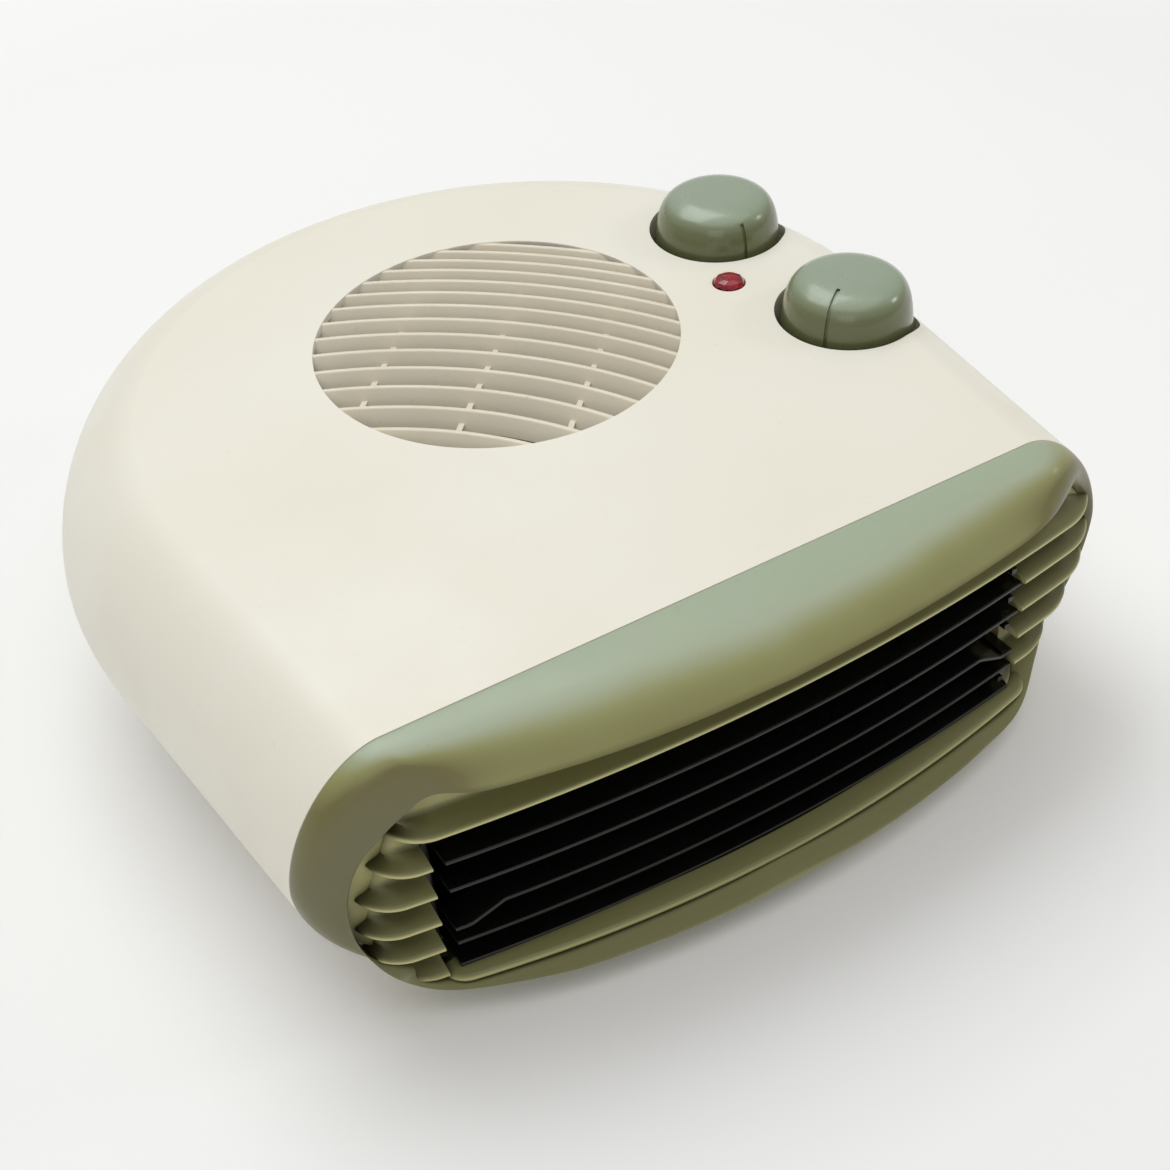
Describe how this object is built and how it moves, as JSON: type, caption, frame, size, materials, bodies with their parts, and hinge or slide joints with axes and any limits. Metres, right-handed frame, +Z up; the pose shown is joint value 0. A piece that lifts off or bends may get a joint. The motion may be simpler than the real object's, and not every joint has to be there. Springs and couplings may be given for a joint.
{
  "type": "fan heater",
  "caption": "Low free-standing fan heater: round air intake on top, bowed louvred outlet in front, two turning knobs and an indicator lens.",
  "frame": {"origin": "middle of the bounding box seen from above, on the surface that the feet stand on", "axes": "+Z up, -Y out of the warm air outlet, +X towards the side with the knobs"},
  "size_m": [0.26, 0.268, 0.0983],
  "materials": {
    "cream_plastic": "glossy moulded, warm cream",
    "grille_plastic": "satin moulded, slightly darker cream",
    "sage_plastic": "satin moulded, sage green",
    "knob_plastic": "glossy moulded, sage green",
    "black_plastic": "black moulded, heat resistant",
    "rubber": "soft black rubber",
    "steel": "zinc plated",
    "laminated_steel": "stacked laminations",
    "nylon": "natural nylon",
    "mica": "pressed mica card",
    "heating_alloy": "oxidised resistance strip",
    "copper": "enamelled copper winding",
    "brass": "bare brass",
    "red_lens": "clear red jewel",
    "lamp_glass": "clear glass envelope",
    "wire_cover": "insulated wire"
  },
  "bodies": {
    "case": {"top_shell": "cream_plastic", "base_shell": "cream_plastic", "front_bezel": "sage_plastic", "outlet_grille": "sage_plastic", "outlet_guard": "black_plastic", "intake_grille": "grille_plastic", "rubber_feet": "rubber", "case_screws": "steel", "fan_housing": "black_plastic", "inlet_plate": "black_plastic", "housing_screws": "steel", "stator_core": "laminated_steel", "coil_bobbin": "nylon", "motor_coil": "copper", "upper_bracket": "steel", "lower_bracket": "steel", "bearing_bushes": "brass", "motor_screws": "steel", "heater_tray": "steel", "mica_frame": "mica", "heating_ribbons": "heating_alloy", "thermal_cutout": "black_plastic", "thermal_fuse": "steel", "thermostat_body": "nylon", "bimetal_blade": "brass", "thermostat_nut": "steel", "selector_body": "nylon", "selector_contacts": "brass", "selector_nut": "steel", "indicator_lens": "red_lens", "neon_lamp": "lamp_glass", "terminal_block": "nylon", "cord_gland": "rubber", "cord_clamp": "nylon", "clamp_screws": "steel", "inner_wires": "wire_cover"},
    "fan": {"fan_wheel": "black_plastic", "wheel_nut": "brass", "motor_shaft": "steel", "rotor": "laminated_steel"},
    "thermostat_control": {"thermostat_knob": "knob_plastic", "thermostat_spindle": "steel"},
    "selector_control": {"selector_knob": "knob_plastic", "selector_spindle": "steel"}
  },
  "joints": [
    {"name": "fan_spin", "type": "hinge", "parent": "case", "child": "fan", "pos_m": [0.0055, 0.0215, 0.05], "axis": [0, 0, 1], "continuous": true},
    {"name": "thermostat_turn", "type": "hinge", "parent": "case", "child": "thermostat_control", "pos_m": [0.09, 0.0345, 0.086], "axis": [0, 0, -1], "range_deg": [0, 290]},
    {"name": "selector_turn", "type": "hinge", "parent": "case", "child": "selector_control", "pos_m": [0.094, -0.025, 0.086], "axis": [0, 0, -1], "range_deg": [0, 135]}
  ]
}
